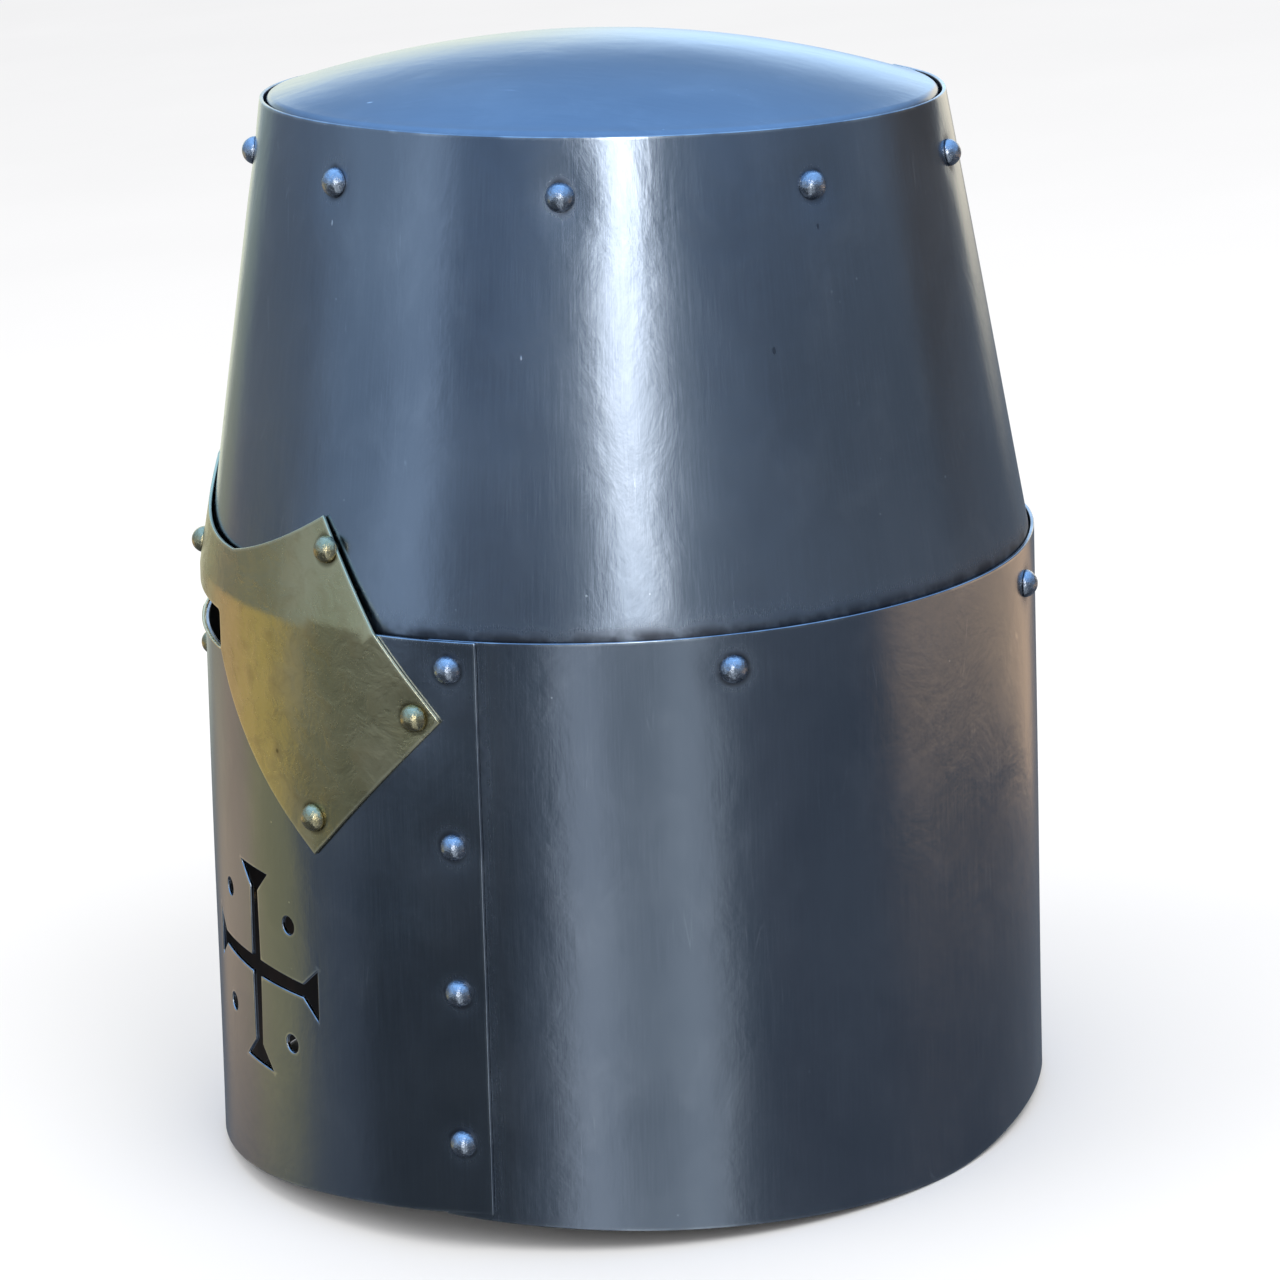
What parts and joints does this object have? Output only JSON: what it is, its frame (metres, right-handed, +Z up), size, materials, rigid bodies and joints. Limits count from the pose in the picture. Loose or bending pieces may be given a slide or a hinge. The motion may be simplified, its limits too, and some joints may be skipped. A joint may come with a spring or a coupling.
{
  "type": "great helm",
  "caption": "Riveted sheet-steel great helm with domed crown, brass face cross, eye slots, cross-shaped breaths, leather liner and buckled chin strap.",
  "frame": {"origin": "on the floor under the middle of the helm's box, the helm standing on its lower edge", "axes": "-Y is the face, +X is the wearer's left, +Z is up; the helm leans back about 4.6 degrees onto the nape edge, because its face plate is cut lower under the chin"},
  "size_m": [0.234, 0.2715, 0.328],
  "materials": {
    "steel_plate": "cold-worked sheet steel, satin to half polished, faint vertical brushing",
    "steel_rivet": "polished domed rivet heads",
    "steel_fitting": "plain steel fittings",
    "brass_plate": "dull brass sheet, slightly tarnished",
    "brass_rivet": "polished brass rivet heads",
    "liner_leather": "vegetable-tanned leather",
    "strap_leather": "oiled bridle leather",
    "lace_cord": "waxed cord"
  },
  "bodies": {
    "shell": {"brass_cross": "brass_plate", "cross_rivets": "brass_rivet", "crown_plate": "steel_plate", "crown_rivets": "steel_rivet", "face_plate": "steel_plate", "liner_band": "liner_leather", "liner_lace": "lace_cord", "liner_tongue_1": "liner_leather", "liner_tongue_2": "liner_leather", "liner_tongue_3": "liner_leather", "liner_tongue_4": "liner_leather", "liner_tongue_5": "liner_leather", "liner_tongue_6": "liner_leather", "liner_tongue_7": "liner_leather", "liner_tongue_8": "liner_leather", "nape_plate": "steel_plate", "rim_rivets": "steel_rivet", "side_rivets_left": "steel_rivet", "side_rivets_right": "steel_rivet", "skull_lap_rivets": "steel_rivet", "skull_plate": "steel_plate", "strap_hanger_left": "steel_fitting", "strap_hanger_right": "steel_fitting"},
    "chin_strap": {"chin_strap_left": "strap_leather", "chin_strap_right": "strap_leather", "buckle_frame": "steel_fitting", "buckle_prong": "steel_fitting", "strap_keeper": "strap_leather", "strap_eyelet_left": "steel_fitting", "strap_eyelet_right": "steel_fitting"}
  },
  "joints": [
    {"name": "chin_strap_swing", "type": "hinge", "parent": "shell", "child": "chin_strap", "pos_m": [0, -0.00818, 0.10371], "axis": [1, 0, 0], "range_deg": [-38, 38]}
  ]
}
